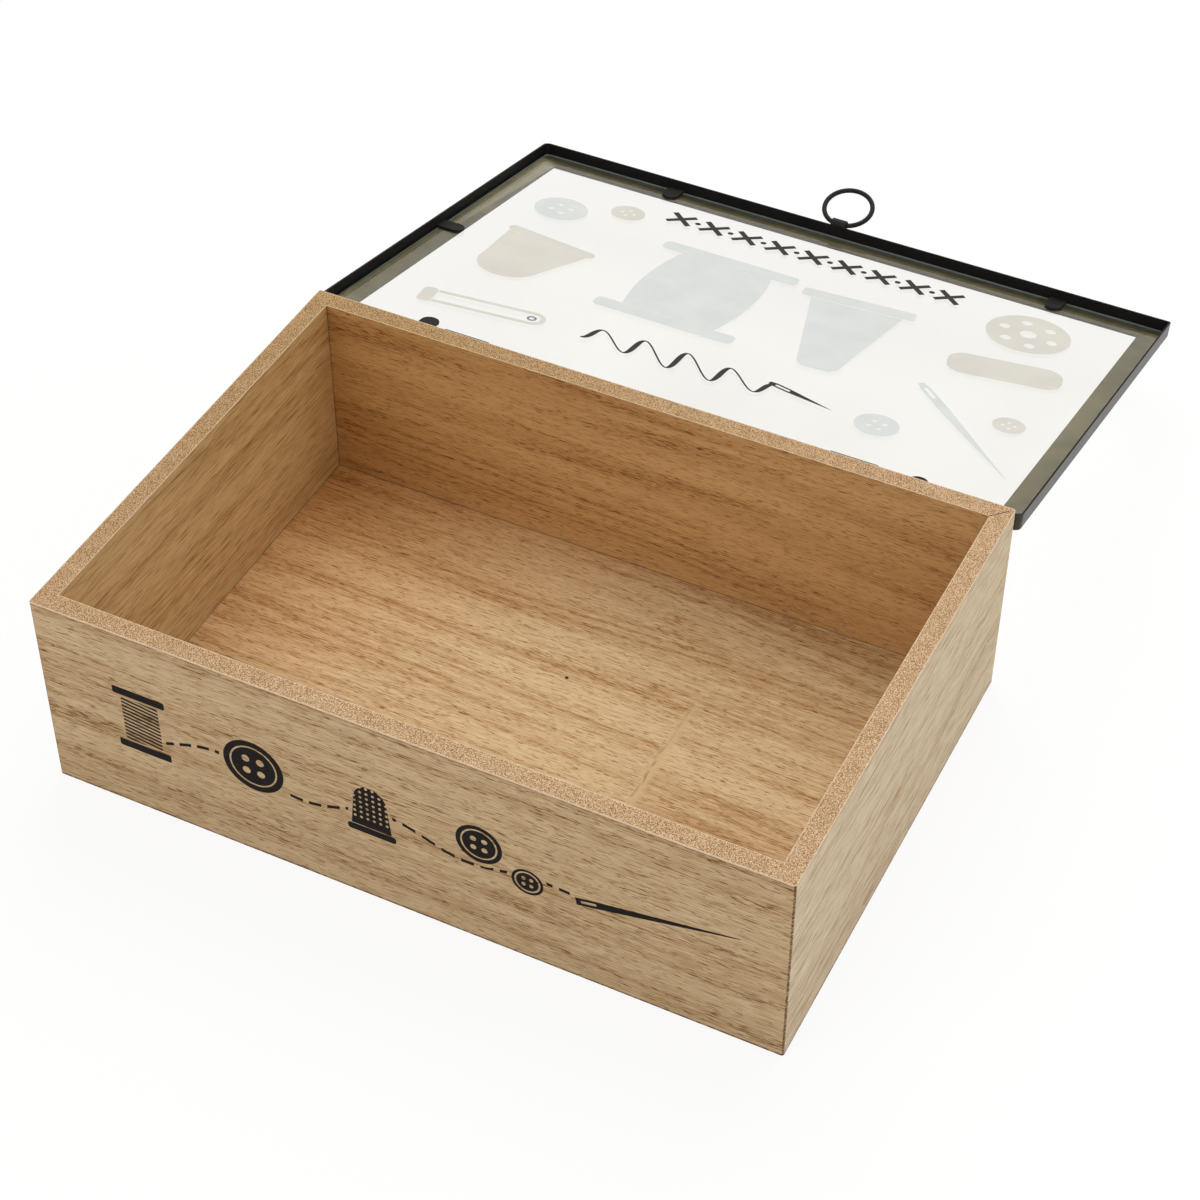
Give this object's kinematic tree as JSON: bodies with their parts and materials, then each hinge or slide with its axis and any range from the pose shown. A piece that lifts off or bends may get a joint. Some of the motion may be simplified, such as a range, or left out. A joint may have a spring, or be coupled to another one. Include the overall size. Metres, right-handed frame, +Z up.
{
  "type": "wooden sewing box",
  "caption": "Low open wooden box with a framed glass lid hinged along its back edge and a ring pull on the lid, for keeping sewing things.",
  "frame": {"origin": "centre of the rectangle that the box stands on, on the surface it stands on", "axes": "+X along the long front to the right, +Y to the back, towards the hinges, +Z up"},
  "size_m": [0.314, 0.448, 0.093],
  "materials": {
    "wall_board": "washed wood foil outside, warmer brown foil inside, bare fibreboard on the rim",
    "floor_board": "golden brown wood foil",
    "frame_metal": "satin black-bronze",
    "pane_glass": "clear",
    "tab_metal": "satin black",
    "pull_metal": "satin black",
    "hinge_metal": "satin black",
    "pin_steel": "bare wire",
    "screw_steel": "black"
  },
  "bodies": {
    "box": {"front_panel": "wall_board", "back_panel": "wall_board", "left_panel": "wall_board", "right_panel": "wall_board", "bottom_panel": "floor_board", "hinge_box_leaf_left": "hinge_metal", "hinge_box_leaf_right": "hinge_metal", "hinge_pin_left": "pin_steel", "hinge_pin_right": "pin_steel", "hinge_screws_left": "screw_steel", "hinge_screws_right": "screw_steel"},
    "lid": {"lid_frame": "frame_metal", "lid_glass": "pane_glass", "glass_tab_front_left": "tab_metal", "glass_tab_front_right": "tab_metal", "glass_tab_rear_left": "tab_metal", "glass_tab_rear_right": "tab_metal", "glass_tab_left": "tab_metal", "hinge_lid_leaf_left": "hinge_metal", "hinge_lid_leaf_right": "hinge_metal", "ring_strap": "pull_metal"},
    "ring": {"pull_ring": "pull_metal"}
  },
  "joints": [
    {"name": "lid_hinge", "type": "hinge", "parent": "box", "child": "lid", "pos_m": [0, 0.10795, 0.089], "axis": [1, 0, 0], "range_deg": [0, 193.66]},
    {"name": "ring_swing", "type": "hinge", "parent": "lid", "child": "ring", "pos_m": [-0.0047, 0.31917, 0.03712], "axis": [1, 0, 0], "range_deg": [-116, 64]}
  ]
}
